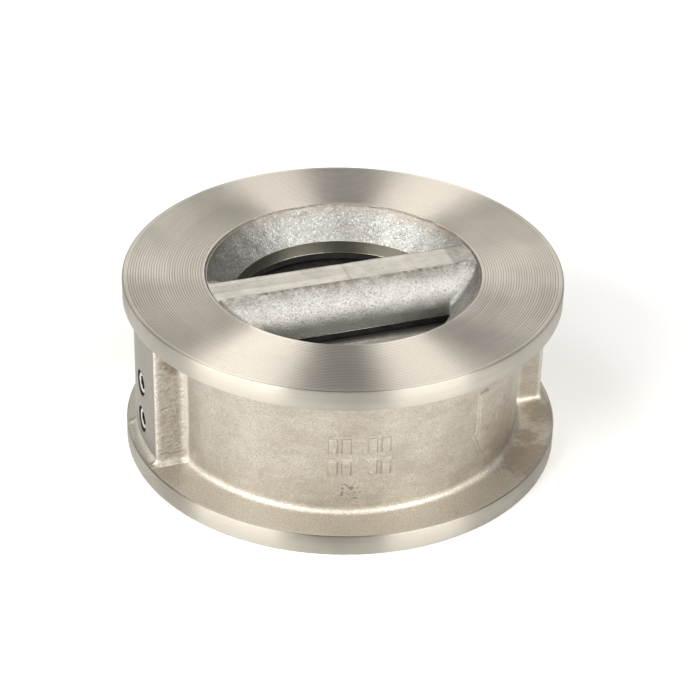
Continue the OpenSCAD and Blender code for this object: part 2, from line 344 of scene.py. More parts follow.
def cast_steel(name):
    """The pickled skin of the casting: warm and cloudy, with brown stains, fine grain and a few pits.

    A cluster of pits lies under the marks, and one stain patch is painted shade on the wall's right end.
    The lower ledge and its fillet are painted lighter, as painted light, the left is greyer, the left
    boss's sides are wrinkled, and the bosses' upright fillets and corners carry painted highlights.
    """
    s = Shader(name)
    clouds = s.noise(17.0, 6.0, 0.72)
    streaks = s.noise(5.0, 5.0, 0.70, stretch=(0.45, 0.45, 1.8))
    stains = s.noise(11.0, 5.0, 0.7, stretch=(1.0, 1.0, 0.7))
    grain = s.noise(0.50, 2.0, 0.6)
    fine = s.noise(0.16, 1.0, 0.5)
    flaw_near = s.fit(s.away_from(PIT_CLUSTER), 5.5 * MM, 2.0 * MM, 0.0, 0.24)
    pits = s.fit(s.plus(s.noise(1.0, 1.0, 0.5), flaw_near), 0.75, 0.82)
    tone = s.mix(s.fit(clouds, 0.36, 0.66), (0.385, 0.356, 0.301), (0.482, 0.463, 0.412))
    tone = s.mix(s.fit(streaks, 0.45, 0.75, 0.0, 0.40), tone, (0.60, 0.59, 0.555))
    tone = s.mix(s.fit(stains, 0.58, 0.78, 0.0, 0.55), tone, (0.35, 0.295, 0.225))
    x, y, z = s.split()
    # painted light: the lower ledge and its fillet, which face up, are painted lighter
    low = s.fit(z, (FLANGE_T + WALL_FILLET + 0.5) * MM, (FLANGE_T + 0.5) * MM, 0.0, 0.42)
    tone = s.mix(low, tone, (0.90, 0.86, 0.78))
    tone = s.mix(s.fit(x, -22.0 * MM, -40.0 * MM, 0.0, 0.24), tone, (0.60, 0.60, 0.565))
    ragged = s.plus(s.times(stains, 0.35), s.times(s.noise(2.0, 4.0, 0.80), 0.65))
    # brown stain patches, and one patch of painted shade on the wall's right end
    tone = s.mix(stain_patches(s, s.fit(ragged, 0.38, 0.66)), tone, (0.25, 0.19, 0.135))
    tone = s.mix(s.fit(grain, 0.36, 0.62, 0.44, 0.0), tone, (0.265, 0.21, 0.16))
    side_x, side_y = s.math("ABSOLUTE", x), s.math("ABSOLUTE", y)
    off_boss_side = s.gap(side_y, (BOSS_HALF + 0.4) * MM)
    wrinkled = s.times(s.fit(x, -52 * MM, -54 * MM), s.fit(off_boss_side, 1.6 * MM, 0.8 * MM))
    wrinkles = s.noise(2.0, 4.0, 0.7, stretch=(1.0, 1.0, 1.5))
    valleys = s.times(wrinkled, s.fit(wrinkles, 0.50, 0.38, 0.0, 0.28))
    tone = s.mix(valleys, tone, (0.22, 0.18, 0.14))
    # painted highlights along the bosses' upright fillets and corners
    for corner_x, corner_y, reach in BOSS_LINES:
        away_x = s.math("SUBTRACT", side_x, corner_x * MM)
        away_y = s.math("SUBTRACT", side_y, corner_y * MM)
        worn = s.fit(s.length(away_x, away_y), reach * MM, 0.4 * reach * MM, 0.0, 0.28)
        tone = s.mix(worn, tone, (0.92, 0.89, 0.82))
    tone = s.mix(s.times(pits, 0.6), tone, (0.13, 0.11, 0.09))
    rough = s.fit(clouds, 0.3, 0.7, 0.58, 0.48)
    skin = s.plus(grain, s.times(fine, 0.3))
    normal = s.bump(s.math("SUBTRACT", skin, s.times(pits, 1.2)), 0.11)
    normal = s.bump(s.noise(3.2, 2.0, 0.5), 0.10, normal)
    normal = s.bump(s.times(wrinkles, wrinkled), 0.7, normal)
    return s.finish(tone, rough, normal)


def blasted_steel(name, light=1.0):
    """Coarsely blasted steel in the funnel and on the web, where single facets flash.

    light scales its tone, as painted light and shade. The web, with light over 1, is painted lighter,
    darkens towards its foot in painted shade, and is duller.
    """
    s = Shader(name)
    on_web = light > 1
    coarse = s.noise(0.65, 3.0, 0.70)
    facets = s.cells(0.50)
    haze = s.noise(9.0, 3.0, 0.6)
    patches = s.noise(2.2, 3.0, 0.6)
    dull, clean = (0.37, 0.365, 0.34), (0.48, 0.48, 0.465)
    tone = s.mix(s.fit(haze, 0.35, 0.65), dimmed(dull, light), dimmed(clean, light))
    tone = s.mix(s.fit(coarse, 0.46, 0.32, 0.0, 0.75), tone, (0.13, 0.125, 0.115))
    tone = s.mix(s.fit(coarse, 0.56, 0.68, 0.0, 0.65), tone, (0.78, 0.78, 0.76))
    z = s.split()[2]
    # painted shade: the web darkens towards its foot
    foot = s.fit(z, (SEAT_Z + 13.0) * MM, (SEAT_Z + 3.0) * MM, 0.0, 0.85 * on_web)
    tone = s.mix(foot, tone, (0.22, 0.215, 0.20))
    edge = s.fit(z, (WEB_TOP_Z - 2.4) * MM, (WEB_TOP_Z - 0.5) * MM)
    soiled = s.times(edge, s.fit(patches, 0.35, 0.60, 0.2, 0.8))
    tone = s.mix(soiled, tone, (0.25, 0.215, 0.17))
    rough = s.fit(facets, 0.1, 0.6, 0.38 + 0.08 * on_web, 0.54 + 0.08 * on_web)
    height = s.plus(coarse, s.times(facets, 0.45))
    return s.finish(tone, rough, s.bump(height, 0.12))


def faced_steel(name):
    """The web's flat top: cut once, dulled by handling, with dark specks, a faint line, painted shade at
    its right end.
    """
    s = Shader(name)
    haze = s.noise(7.0, 3.0, 0.6)
    lines = s.noise(0.5, 2.0, 0.6, stretch=(0.15, 1.0, 1.0))
    specks = s.noise(1.1, 2.0, 0.5)
    tone = s.mix(s.fit(haze, 0.35, 0.65), (0.56, 0.54, 0.485), (0.68, 0.65, 0.60))
    tone = s.mix(s.fit(specks, 0.66, 0.76, 0.0, 0.6), tone, (0.28, 0.24, 0.19))
    x = s.split()[0]
    patches = s.fit(s.noise(1.6, 3.0, 0.6), 0.30, 0.60, 1.0, 0.6)
    # painted shade: the top is painted darker towards its right end
    uncut = s.times(s.fit(x, 33.8 * MM, 34.6 * MM), patches)
    tone = s.mix(uncut, tone, (0.31, 0.30, 0.26))
    from_scribe = s.gap(x, 0.9 * MM)
    tone = s.mix(s.fit(from_scribe, 0.55 * MM, 0.15 * MM, 0.0, 0.35), tone, (0.32, 0.27, 0.21))
    rough = s.fit(haze, 0.3, 0.7, 0.50, 0.42)
    return s.finish(tone, rough, s.bump(lines, 0.012))


def ground_steel(name, colour=(0.60, 0.59, 0.56), roughness=0.26, grain_mm=0.5):
    """Fine ground steel of the pins, plugs and wire."""
    s = Shader(name)
    scratches = s.noise(grain_mm, 2.0, 0.6, stretch=(0.12, 1.0, 1.0))
    haze = s.noise(6.0, 3.0, 0.6)
    tone = s.mix(s.fit(haze, 0.35, 0.7), dimmed(colour, 0.82), colour)
    tone = s.mix(s.fit(scratches, 0.6, 0.75, 0.0, 0.4), tone, dimmed(colour, 0.5))
    rough = s.plus(s.fit(haze, 0.3, 0.7, roughness, roughness + 0.08),
                   s.fit(scratches, 0.3, 0.7, 0.0, 0.06))
    return s.finish(tone, rough, s.bump(scratches, 0.006))


def plate_steel(name):
    """The half plates: ground on the seat side, with chips and a painted shadow by the hinge; blasted on
    the back.
    """
    s = Shader(name)
    scratches = s.noise(0.6, 3.0, 0.6, stretch=(0.10, 1.0, 1.0))
    haze = s.noise(8.0, 4.0, 0.6)
    grit = s.noise(0.6, 2.0, 0.6)
    chips = s.fit(s.noise(1.5, 2.0, 0.5), 0.68, 0.73)
    _, y, z = s.split()
    back = s.fit(z, (PLATE_TOP_Z - 0.8) * MM, (PLATE_TOP_Z - 1.2) * MM)
    tone = s.mix(s.fit(haze, 0.3, 0.7), (0.58, 0.57, 0.53), (0.80, 0.79, 0.75))
    tone = s.mix(s.times(chips, 0.7), tone, (0.90, 0.88, 0.82))
    tone = s.mix(s.times(back, 0.45), tone, (0.50, 0.46, 0.40))
    # painted shadow: the seat side darkens near the hinge, under the web
    by_hinge = s.fit(s.math("ABSOLUTE", y), 16.4 * MM, 14.2 * MM, 0.0, 0.92)
    oily = s.times(by_hinge, s.math("SUBTRACT", 1.0, back))
    tone = s.mix(oily, tone, (0.085, 0.076, 0.060))
    rough = s.math("MAXIMUM", s.fit(back, 0.0, 1.0, 0.22, 0.48), s.fit(oily, 0.0, 0.92, 0.22, 0.55))
    fine = s.bump(s.plus(scratches, s.times(chips, 0.8)), 0.012)
    normal = s.bump(s.times(grit, back), 0.08, fine)
    return s.finish(tone, rough, normal)


def rubber(name):
    """Moulded black rubber with a dusty bloom and faint mould grain."""
    s = Shader(name, metallic=0.0)
    bloom = s.noise(5.0, 4.0, 0.6)
    grain = s.noise(0.30, 2.0, 0.5)
    tone = s.mix(s.fit(bloom, 0.35, 0.75), (0.006, 0.006, 0.006), (0.020, 0.019, 0.017))
    s.set("Specular IOR Level", 0.15)
    return s.finish(tone, s.fit(bloom, 0.3, 0.7, 0.46, 0.62), s.bump(grain, 0.02))


def ptfe(name, tint=(0.80, 0.79, 0.74)):
    """Waxy white plastic with cutting lines and slight soiling."""
    s = Shader(name, metallic=0.0)
    soil = s.noise(2.5, 4.0, 0.65)
    lines = s.noise(0.18, 1.0, 0.5, stretch=(1.0, 0.2, 0.2))
    tone = s.mix(s.fit(soil, 0.55, 0.80, 0.0, 0.5), tint, dimmed(tint, 0.62))
    s.set("Subsurface Weight", 0.15)
    s.set("Subsurface Radius", (MM, MM, MM))
    return s.finish(tone, s.fit(soil, 0.3, 0.7, 0.34, 0.46), s.bump(lines, 0.012))


def studio_floor(name):
    """Matt white paper with a faint tooth. It glows away from the valve and so fades to plain white."""
    s = Shader(name, metallic=0.0)
    s.set("Specular IOR Level", 0.1)
    s.set("Emission Color", WHITE)
    s.set("Emission Strength", s.fit(off_axis(s), 0.12, 0.50, 0.0, 0.9, smooth=True))
    tone = s.mix(s.noise(60.0, 2.0, 0.5), (0.90, 0.90, 0.90), (0.93, 0.93, 0.93))
    return s.finish(tone, 0.9, s.bump(s.noise(0.8, 2.0, 0.5), 0.01))


CAST = cast_steel("cast_stainless_skin")
TURNED = turned_steel("turned_stainless")
RIM = turned_steel("rim_stainless", colour=(0.455, 0.432, 0.38), roughness=0.36)
# one blasted steel in two copies, painted darker in the funnel and lighter on the web: painted shade and
# painted light
BLASTED = blasted_steel("blasted_stainless", light=0.76)
BLASTED_WEB = blasted_steel("blasted_web_stainless", light=1.30)
# painted shade: the bore above the seat is turned steel painted dark
BORED = turned_steel("bored_stainless", colour=(0.155, 0.15, 0.125), roughness=0.42, spread=0.6)
BOSS_END = turned_steel("boss_end_stainless", colour=(0.295, 0.28, 0.245), roughness=0.50, spread=0.3)
FACED = faced_steel("faced_stainless")
PLATE = plate_steel("plate_stainless")
PIN = ground_steel("pin_stainless")
PLUG = ground_steel("plug_stainless", colour=(0.74, 0.72, 0.68), roughness=0.15, grain_mm=0.3)
# painted shade: the pin holes, their threads and the plug sockets are painted nearly black
SOILED = ground_steel("painted_shade_threads", colour=(0.07, 0.06, 0.05), roughness=0.45, grain_mm=0.3)
WIRE = ground_steel("spring_wire", colour=(0.46, 0.45, 0.44), roughness=0.28)
RUBBER = rubber("seat_rubber_black")
PTFE = ptfe("bearing_ptfe_white")
GASKET = ptfe("gasket_ptfe_white", tint=(0.84, 0.84, 0.82))


# ------------ mesh helpers

def placed(name, data):
    """A new object in the scene."""
    obj = bpy.data.objects.new(name, data)
    bpy.context.scene.collection.objects.link(obj)
    return obj


def unit_circle(sides):
    return [(cos(2 * pi * k / sides), sin(2 * pi * k / sides)) for k in range(sides)]


class Shell:
    """Points and faces of one closed mesh, built ring by ring. marks holds each face's material slot."""

    def __init__(self):
        self.points, self.faces, self.marks = [], [], []

    def ring(self, points):
        start = len(self.points)
        self.points.extend(tuple(p) for p in points)
        return list(range(start, len(self.points)))

    def strip(self, a, b, mark=0):
        """Quads between two rings of the same length. mark is one slot, or a slot for every quad."""
        n = len(a)
        for i in range(n):
            j = (i + 1) % n
            self.faces.append((a[i], a[j], b[j], b[i]))
        self.marks.extend([mark] * n if isinstance(mark, int) else mark)

    def tube(self, rings, mark=0):
        for a, b in zip(rings, rings[1:]):
            self.strip(a, b, mark)

    def cap(self, loops, mark=0):
        """Fills the flat face inside the first loop and outside the others."""
        flat = [i for loop in loops for i in loop]
        lines = [[Vector(self.points[i]) for i in loop] for loop in loops]
        for triangle in tessellate_polygon(lines):
            self.faces.append(tuple(flat[k] for k in triangle))
            self.marks.append(mark)

    def piece(self, name, materials, sharp=32.0):
        """An object with this mesh in metres. Edges over sharp degrees are shaded sharp."""
        mesh = bpy.data.meshes.new(name)
        mesh.from_pydata([[c * MM for c in p] for p in self.points], [], self.faces)
        mesh.polygons.foreach_set("material_index", self.marks)
        for material in materials:
            mesh.materials.append(material)
        tidy = bmesh.new()
        tidy.from_mesh(mesh)
        bmesh.ops.recalc_face_normals(tidy, faces=tidy.faces)
        tidy.to_mesh(mesh)
        tidy.free()
        mesh.shade_smooth()
        mesh.set_sharp_from_angle(angle=radians(sharp))
        return placed(name, mesh)


def settle(obj, body, slot, *nodes):
    """Puts a piece on its body and hides the CAD nodes it stands for. slot, its finish, is not used."""
    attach(obj, body)
    if nodes:
        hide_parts(*nodes)


def bake(obj):
    """Applies the piece's modifiers to its mesh."""
    view = obj.evaluated_get(bpy.context.evaluated_depsgraph_get())
    mesh = bpy.data.meshes.new_from_object(view)
    obj.modifiers.clear()
    obj.data = mesh


def boolean(obj, operation, *others):
    """Adds or cuts the other pieces with an exact boolean, and removes them."""
    for other in others:
        step = obj.modifiers.new(operation.lower(), "BOOLEAN")
        step.operation = operation
        step.solver = "EXACT"
        step.object = other
        step.material_mode = "TRANSFER"
        bake(obj)
        bpy.data.objects.remove(other)


def softened(profile, size):
    """A closed profile with every corner rounded to about size, except corners on the axis."""
    out = []
    n = len(profile)
    steps = 2
    for i, (x, r) in enumerate(profile):
        before, after = profile[i - 1], profile[(i + 1) % n]
        if r <= 0:
            out.append((x, r))
            continue
        ends = []
        for bx, br in (before, after):
            length = sqrt((bx - x) ** 2 + (br - r) ** 2)
            share = min(size / length, 0.45)
            ends.append((x + (bx - x) * share, r + (br - r) * share))
        for k in range(steps + 1):
            t = k / steps
            a, b, c = (1 - t) ** 2, 2 * t * (1 - t), t * t
            out.append(tuple(a * p + b * q + c * e for p, q, e in zip(ends[0], (x, r), ends[1])))
    return out


def turned_x(name, profile, axis_z, material, sides=72, soft=0.12):
    """A solid turned about a line along X. The profile is closed and holds (x, radius) points."""
    shell = Shell()
    points = softened(profile, soft) if soft else profile
    rings = []
    for x, r in points:
        if r <= 0:
            rings.append(shell.ring([(x, 0.0, axis_z)]))
        else:
            rings.append(shell.ring([(x, r * c, axis_z + r * d) for c, d in unit_circle(sides)]))
    for a, b in zip(rings, rings[1:] + rings[:1]):
        if len(a) > 1 and len(b) > 1:
            shell.strip(a, b)
        elif len(a) > 1 or len(b) > 1:
            pole, rim = sorted((a, b), key=len)
            for k in range(sides):
                shell.faces.append((pole[0], rim[k], rim[(k + 1) % sides]))
                shell.marks.append(0)
    return shell.piece(name, [material])


def prism(name, outline, low, high, material, bevel=0.0, place=None):
    """A prism over an outline of (u, v) points, from w = low to high, put in place by place(u, v, w).

    With a bevel it stands on w = 0 with a soft foot and a rounded top, as a cast mark does.
    """
    shell = Shell()
    put = place or (lambda u, v, w: (u, v, w))
    if bevel:
        rounds = [(-1.7, low), (-1.1, 0.0), (-0.65, high * 0.08), (-0.25, high * 0.32),
                  (0.15, high * 0.70), (0.5, high * 0.93), (0.85, high), (0.95, high)]
        rings = []
        for inset, w in rounds:
            rings.append(shell.ring([put(u, v, w) for u, v in shrunk(outline, bevel * inset)]))
        shell.tube(rings)
        bottom, top = rings[0], rings[-1]
    else:
        bottom = shell.ring([put(u, v, low) for u, v in outline])
        top = shell.ring([put(u, v, high) for u, v in outline])
        shell.strip(bottom, top)
    shell.cap([bottom])
    shell.cap([top])
    return shell.piece(name, [material])


def rectangle(u0, u1, v0, v1):
    return [(u0, v0), (u1, v0), (u1, v1), (u0, v1)]


def shrunk(outline, inset):
    """A counter-clockwise outline moved inwards by inset along its corners' bisectors."""
    out = []
    n = len(outline)
    for i in range(n):
        p, q, r = (Vector(outline[k % n]) for k in (i - 1, i, i + 1))
        a, b = (q - p).normalized(), (r - q).normalized()
        inward = Vector((-(a.y + b.y), a.x + b.x))
        scale = inset / max(0.35, inward.normalized().dot(Vector((-a.y, a.x))))
        out.append(tuple(q + inward.normalized() * scale))
    return out


def roughen(obj, slots, sizes):
    """Moves the points that lie only in faces of those slots along their normals by seeded noise."""
    mesh = obj.data
    firm = set()
    for face in mesh.polygons:
        if face.material_index not in slots:
            firm.update(face.vertices)
    moved = []
    for point in mesh.vertices:
        move = 0.0
        if point.index not in firm:
            move = sum(depth * noise.noise(point.co / (size * MM)) for size, depth in sizes)
        moved.extend(point.co + point.normal * move * MM)
    mesh.vertices.foreach_set("co", moved)
    mesh.update()


# ------------ the casting

def quarter_outline():
    """Points and outward normals of the waist's plan, from a boss's middle to the middle of the wall."""
    c, f, h = BOSS_CORNER, BOSS_FILLET, BOSS_HALF
    corner_x = sqrt((BOSS_R - c) ** 2 - (h - c) ** 2)
    fillet_x = sqrt((WALL_R + f) ** 2 - (h + f) ** 2)
    corner_a = atan2(h - c, corner_x)
    fillet_a = atan2(h + f, fillet_x)
    out = []

    def arc(cx, cy, r, a0, a1, steps, sign=1):
        for k in range(steps):
            a = a0 + (a1 - a0) * k / steps
            out.append(((cx + r * cos(a), cy + r * sin(a)), (sign * cos(a), sign * sin(a))))

    arc(0, 0, BOSS_R, 0, corner_a, 9)
    arc(corner_x, h - c, c, corner_a, pi / 2, 6)
    for k in range(4):
        out.append(((corner_x + (fillet_x - corner_x) * k / 4, h), (0.0, 1.0)))
    arc(fillet_x, h + f, f, -pi / 2, fillet_a - pi, 7, -1)
    arc(0, 0, WALL_R, fillet_a, pi / 2, 54)
    out.append(((0.0, WALL_R), (0.0, 1.0)))
    return out


def waist_outline():
    """The whole plan of the waist, counter-clockwise from +X."""
    quarter = quarter_outline()
    half = quarter[:-1] + [((-x, y), (-nx, ny)) for (x, y), (nx, ny) in reversed(quarter)]
    return half[:-1] + [((x, -y), (nx, -ny)) for (x, y), (nx, ny) in reversed(half)][:-1]


def funnel_radius(z):
    """Radius of the opening at height z: the straight bore above the seat, then the funnel."""
    if z <= BORE_TOP_Z:
        return SEAT_R
    return SEAT_R + (FUNNEL_R - SEAT_R) * (z - BORE_TOP_Z) / (LENGTH - BORE_TOP_Z)


def web_slope(t):
    """Half width and height of the web at a share t of its slope, from the foot to the top."""
    y = WEB_FOOT_HALF + (WEB_TOP_HALF - WEB_FOOT_HALF) * t + WEB_BULGE * sin(pi * t)
    z = BORE_TOP_Z + (WEB_TOP_Z - BORE_TOP_Z) * t + WEB_BULGE / 2 * sin(pi * t)
    return y, z


def web_half(z):
    """Half width of the web at height z. The slope runs into the upright foot in a soft bend."""
    low, high = 0.0, 1.0
    target = max(z, BORE_TOP_Z + FOOT_BEND)
    for _ in range(40):
        middle = (low + high) / 2
        if web_slope(middle)[1] < target:
            low = middle
        else:
            high = middle
    y = web_slope((low + high) / 2)[0]
    bend = min(1.0, max(0.0, (z - BORE_TOP_Z + FOOT_BEND) / (2 * FOOT_BEND)))
    return WEB_FOOT_HALF - bend ** 2 * (WEB_FOOT_HALF - y)


ROUND_STEPS, CORNER_STEPS, STRAIGHT_STEPS = 110, 7, 66


def passage(side, half, r, corner, z):
    """A D-shaped loop at height z: a round side of radius r, and a straight side at y = half."""
    across, along = half + corner, r - corner
    reach = sqrt(along ** 2 - across ** 2)
    turn = atan2(across, reach)
    out = []
    for k in range(ROUND_STEPS):
        a = turn + (pi - 2 * turn) * k / ROUND_STEPS
        out.append((r * cos(a), r * sin(a)))
    for k in range(CORNER_STEPS):
        a = pi - turn + (pi / 2 + turn) * k / CORNER_STEPS
        out.append((-reach + corner * cos(a), across + corner * sin(a)))
    for k in range(STRAIGHT_STEPS):
        out.append((-reach + 2 * reach * k / STRAIGHT_STEPS, half))
    for k in range(CORNER_STEPS):
        a = -pi / 2 + (pi / 2 + turn) * k / CORNER_STEPS
        out.append((reach + corner * cos(a), across + corner * sin(a)))
    return [(x, side * y, z) for x, y in out]


def grooves(r0):
    """Radius and depth of points across the concentric V grooves of a gasket face."""
    out = []
    count = int((GROOVE_END_R - r0) / GROOVE_PITCH)
    for i in range(count):
        start = r0 + i * GROOVE_PITCH
        out += [(start, 0.0), (start + GROOVE_W / 2, GROOVE_DEPTH), (start + GROOVE_W, 0.0)]
    out.append((r0 + count * GROOVE_PITCH, 0.0))
    return out


def casting():
    """The body: one closed mesh from the seat down the chamber, round the outside and in to the web."""
    cast, turned, blasted, web, bored, faced, boss_end, edge = range(8)
    outline = waist_outline()
    angles = [atan2(y + WALL_FILLET * ny, x + WALL_FILLET * nx) for (x, y), (nx, ny) in outline]
    shell = Shell()

    def circle(r, z):
        return shell.ring([(r * cos(a), r * sin(a), z) for a in angles])

    def waist(offset, z):
        return shell.ring([(x + nx * offset, y + ny * offset, z) for (x, y), (nx, ny) in outline])

    def ledge(edge_ring, z):
        """Rings on a flange's inner face, from the waist's fillet out to the rim's chamfer."""
        inner = [shell.points[i] for i in edge_ring]
        rings, r, steps = [edge_ring], FLANGE_R - EDGE, 7
        for k in range(1, steps + 1):
            t = k / steps
            rings.append(shell.ring([(x + (r * cos(a) - x) * t, y + (r * sin(a) - y) * t, z)
                                     for (x, y, _), a in zip(inner, angles)]))
        return rings

    # from the seat's land down the chamber and out over the outlet face
    land = circle(CHAMBER_R, SEAT_Z)
    chamber = [land] + [circle(CHAMBER_R, z) for z in (36, 28, 20, 12, 5, 1.0)]
    chamber += [circle(CHAMBER_R + 0.3, 0.35), circle(CHAMBER_R + 1.0, 0.0)]
    outlet = [circle(r, d) for r, d in grooves(OUTLET_GROOVE_R)]
    soft_r = FLANGE_R - EDGE_MIDDLE
    rim = [circle(FLANGE_R - EDGE, 0), circle(soft_r, EDGE_MIDDLE), circle(FLANGE_R, EDGE),
           circle(FLANGE_R, FLANGE_T / 2), circle(FLANGE_R, FLANGE_T - EDGE),
           circle(soft_r, FLANGE_T - EDGE_MIDDLE)]
    shell.tube(chamber + outlet + rim[:1], turned)
    shell.tube(rim, edge)

    # the ledge, the fillet, the waist and the same again under the inlet flange
    fillet = []
    steps = 5
    for k in range(steps + 1):
        a = pi / 2 * k / steps
        fillet.append((WALL_FILLET * (1 - sin(a)), FLANGE_T + WALL_FILLET * (1 - cos(a))))
    low_fillet = [waist(d, z) for d, z in fillet]
    low_ledge = ledge(low_fillet[0], FLANGE_T)
    shell.strip(rim[-1], low_ledge[-1], edge)
    shell.tube(low_ledge, cast)
    rows = 28
    span = LENGTH - 2 * (FLANGE_T + WALL_FILLET)
    wall = [waist(0.0, FLANGE_T + WALL_FILLET + span * k / rows) for k in range(1, rows)]
    high_fillet = [waist(d, LENGTH - z) for d, z in reversed(fillet)]
    high_ledge = ledge(high_fillet[-1], LENGTH - FLANGE_T)
    ends = [boss_end if sqrt(x * x + y * y) > BOSS_R - 0.01 else cast for (x, y), _ in outline]
    shell.tube(low_fillet, cast)
    for a, b in zip([low_fillet[-1]] + wall, wall + [high_fillet[0]]):
        shell.strip(a, b, ends)
    shell.tube(high_fillet, cast)
    shell.tube(high_ledge, cast)

    # the inlet flange's rim and its serrated face
    top = LENGTH
    rim = [circle(soft_r, top - FLANGE_T + EDGE_MIDDLE), circle(FLANGE_R, top - FLANGE_T + EDGE),
           circle(FLANGE_R, top - FLANGE_T / 2), circle(FLANGE_R, top - EDGE),
           circle(soft_r, top - EDGE_MIDDLE), circle(FLANGE_R - EDGE, top)]
    face = [circle(r, top - d) for r, d in reversed(grooves(INLET_GROOVE_R))]
    shell.strip(high_ledge[-1], rim[0], edge)
    shell.tube(rim, edge)
    lip = [circle(FUNNEL_R + 0.15, top), circle(FUNNEL_R - 0.1, top - 0.2),
           circle(funnel_radius(WEB_TOP_Z), WEB_TOP_Z)]
    shell.tube(rim[-1:] + face + lip[:1], turned)
    shell.tube(lip, blasted)

    # the two passages through the web's level, lofted down to the seat
    mouths, feet = [], []
    slope_rows, foot_rows = 16, 7
    edge_z = SEAT_Z + FOOT_EDGE
    heights = [WEB_TOP_Z + (BORE_TOP_Z - WEB_TOP_Z) * k / slope_rows for k in range(slope_rows + 1)]
    heights += [BORE_TOP_Z + (edge_z - BORE_TOP_Z) * k / foot_rows for k in range(1, foot_rows + 1)]
    for side in (1, -1):
        rings = []
        for z in heights:
            inset = 0.1 if z == WEB_TOP_Z else 0.0
            rings.append(shell.ring(passage(side, web_half(z), funnel_radius(z) - inset, WEB_CORNER, z)))
        for k in (1, 2, 3):
            a = pi / 6 * k
            out, z = FOOT_EDGE * (1 - cos(a)), edge_z - FOOT_EDGE * sin(a)
            rings.append(shell.ring(passage(side, WEB_FOOT_HALF - out, SEAT_R + out, WEB_CORNER, z)))
        for row, (a, b) in enumerate(zip(rings, rings[1:])):
            round_mark, straight_mark = (blasted if row < slope_rows else bored), web
            if row >= slope_rows + foot_rows:
                round_mark = straight_mark = turned
            shell.strip(a, b, [round_mark] * ROUND_STEPS + [straight_mark] * (len(a) - ROUND_STEPS))
        mouths.append(rings[0])
        feet.append(rings[-1])
    shell.cap([lip[-1]] + mouths, faced)
    shell.cap([land] + feet, turned)

    obj = shell.piece("valve_casting", [CAST, TURNED, BLASTED, BLASTED_WEB, BORED, FACED, BOSS_END, RIM])
    roughen(obj, {cast}, [(9.0, 0.16), (3.0, 0.08)])
    roughen(obj, {blasted, web}, [(4.0, 0.16), (1.6, 0.07)])
    return obj


def pin_hole_cutter(z):
    """The pin hole right through the waist, wider for the plugs and countersunk at both mouths."""
    hole = PIN_R + 0.04
    half = [(SHOULDER_X, hole), (SHOULDER_X, PLUG_R), (BOSS_R - 0.3, PLUG_R),
            (BOSS_R + 0.1, PLUG_R + 0.4), (BOSS_R + 2, PLUG_R + 0.4), (BOSS_R + 2, 0.0)]
    mirrored = [(-x, r) for x, r in reversed(half)]
    return turned_x("cutter", mirrored + half, z, SOILED, sides=48, soft=0)


def on_wall(angle):
    """Bends a flat outline round the wall: u runs round it, v is height, w stands out from it."""
    def put(u, v, w):
        a = angle + u / WALL_R
        return ((WALL_R + w) * cos(a), (WALL_R + w) * sin(a), v)
    return put


def flow_arrow():
    """The cast arrow that points to the outlet: heights of its tip, neck and tail, and half widths."""
    tip, neck, tail, head, shaft = 15.8, 23.3, 37.5, 3.4, 1.9
    outline = [(0, tip), (head, neck), (shaft, neck), (shaft, tail),
               (-shaft, tail), (-shaft, neck), (-head, neck)]
    return prism("flow_arrow", outline, -SUNK, ARROW_RISE, CAST, bevel=0.5, place=on_wall(ARROW_ANGLE))


def mark_pads():
    """Blank raised pads in two rows, where a foundry sets its marks."""
    pads = []
    for z in MARK_ROWS:
        for u in MARK_COLUMNS:
            outline = rectangle(u - MARK_W / 2, u + MARK_W / 2, z, z + MARK_H)
            pads.append(prism(f"mark_pad_{len(pads) + 1}", outline, -SUNK, MARK_RISE, CAST, bevel=0.4,
                              place=on_wall(MARK_ANGLE)))
    return pads


# ------------ the inside

def seat_ring():
    """The rubber seat under the casting's seat face, with a slightly rounded lip round each opening."""
    shell = Shell()
    low, high = PLATE_TOP_Z + 0.05, SEAT_Z
    outer = [(PLATE_R + 1, high), (PLATE_R + 1, low + 0.3), (PLATE_R + 0.7, low)]
    rings = [shell.ring([(r * c, r * d, z) for c, d in unit_circle(160)]) for r, z in outer]
    shell.tube(rings)
    tops, bottoms = [], []
    for side in (1, -1):
        lips = [(0.02, high), (0.02, high - 0.3), (-0.12, (low + high) / 2),
                (0.0, low + 0.25), (0.25, low)]
        loops = []
        for d, z in lips:
            loops.append(shell.ring(passage(side, WEB_FOOT_HALF - d, SEAT_R + d, WEB_CORNER, z)))
        shell.tube(loops)
        tops.append(loops[0])
        bottoms.append(loops[-1])
    shell.cap([rings[0]] + tops)
    shell.cap([rings[-1]] + bottoms)
    return shell.piece("seat_ring_rubber", [RUBBER])


